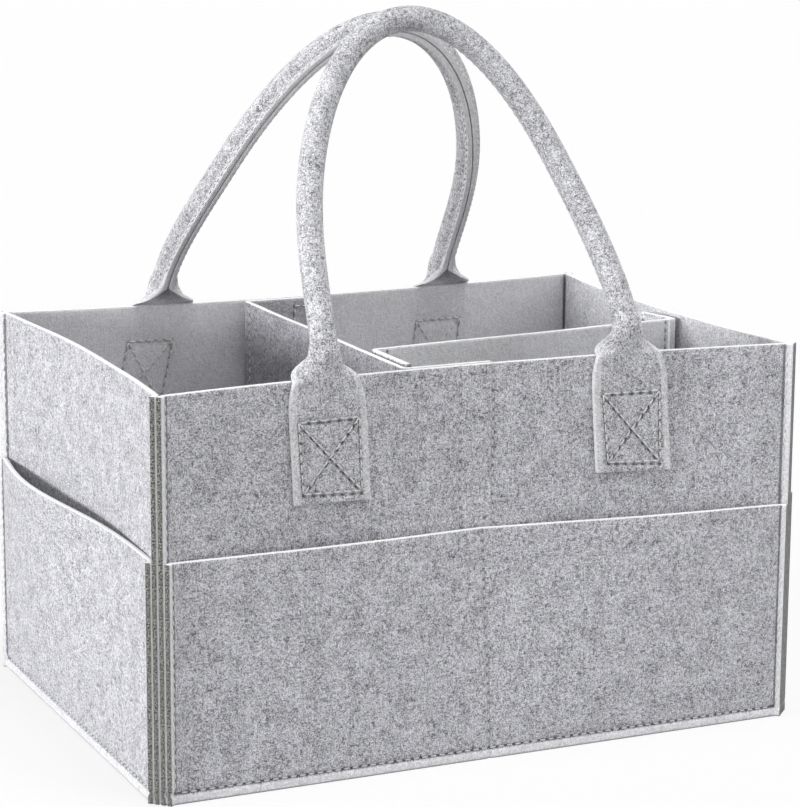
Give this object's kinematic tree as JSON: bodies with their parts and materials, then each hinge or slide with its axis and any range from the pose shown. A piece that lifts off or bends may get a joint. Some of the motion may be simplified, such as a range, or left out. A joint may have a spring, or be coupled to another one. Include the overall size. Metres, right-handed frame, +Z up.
{
  "type": "diaper caddy",
  "caption": "Open-topped rectangular felt caddy with pockets round the outside, rolled tube handles, and lift-out dividers held by hook and loop tape.",
  "frame": {"origin": "on the floor, under the middle of the bottom panel", "axes": "+X along the front wall to the right, +Y from the front wall to the back wall, +Z up"},
  "size_m": [0.3621, 0.2576, 0.3691],
  "materials": {
    "body_felt": "marled grey polyester felt, matt",
    "pocket_felt": "marled grey polyester felt, matt",
    "handle_felt": "marled grey polyester felt, matt",
    "divider_felt": "marled grey polyester felt, matt",
    "loop_tape": "brushed nylon loops, matt",
    "hook_tape": "woven nylon with hooks, slight sheen"
  },
  "bodies": {
    "shell": {"bottom_panel": "body_felt", "front_wall": "body_felt", "back_wall": "body_felt", "left_end_wall": "body_felt", "right_end_wall": "body_felt", "front_pocket": "pocket_felt", "back_pocket": "pocket_felt", "left_end_pocket": "pocket_felt", "right_end_pocket": "pocket_felt", "front_handle_left_foot": "handle_felt", "front_handle_right_foot": "handle_felt", "back_handle_left_foot": "handle_felt", "back_handle_right_foot": "handle_felt", "front_wall_loop_tape": "loop_tape", "back_wall_loop_tape": "loop_tape", "right_wall_loop_tape": "loop_tape"},
    "front_handle": {"front_handle": "handle_felt"},
    "back_handle": {"back_handle": "handle_felt"},
    "cross_divider": {"cross_divider": "divider_felt", "cross_divider_front_hook_tape": "hook_tape", "cross_divider_back_hook_tape": "hook_tape", "cross_divider_loop_tape": "loop_tape"},
    "long_divider": {"long_divider": "divider_felt", "long_divider_left_hook_tape": "hook_tape", "long_divider_right_hook_tape": "hook_tape"}
  },
  "joints": [
    {"name": "front_handle_fold", "type": "hinge", "parent": "shell", "child": "front_handle", "pos_m": [0, -0.119, 0.199], "axis": [1, 0, 0], "range_deg": [0, 150]},
    {"name": "back_handle_fold", "type": "hinge", "parent": "shell", "child": "back_handle", "pos_m": [0, 0.119, 0.199], "axis": [-1, 0, 0], "range_deg": [0, 150]},
    {"name": "cross_divider_lift", "type": "slide", "parent": "shell", "child": "cross_divider", "axis": [0, 0, 1], "range_m": [0, 0.12]},
    {"name": "long_divider_lift", "type": "slide", "parent": "shell", "child": "long_divider", "axis": [0, 0, 1], "range_m": [0, 0.08]}
  ]
}
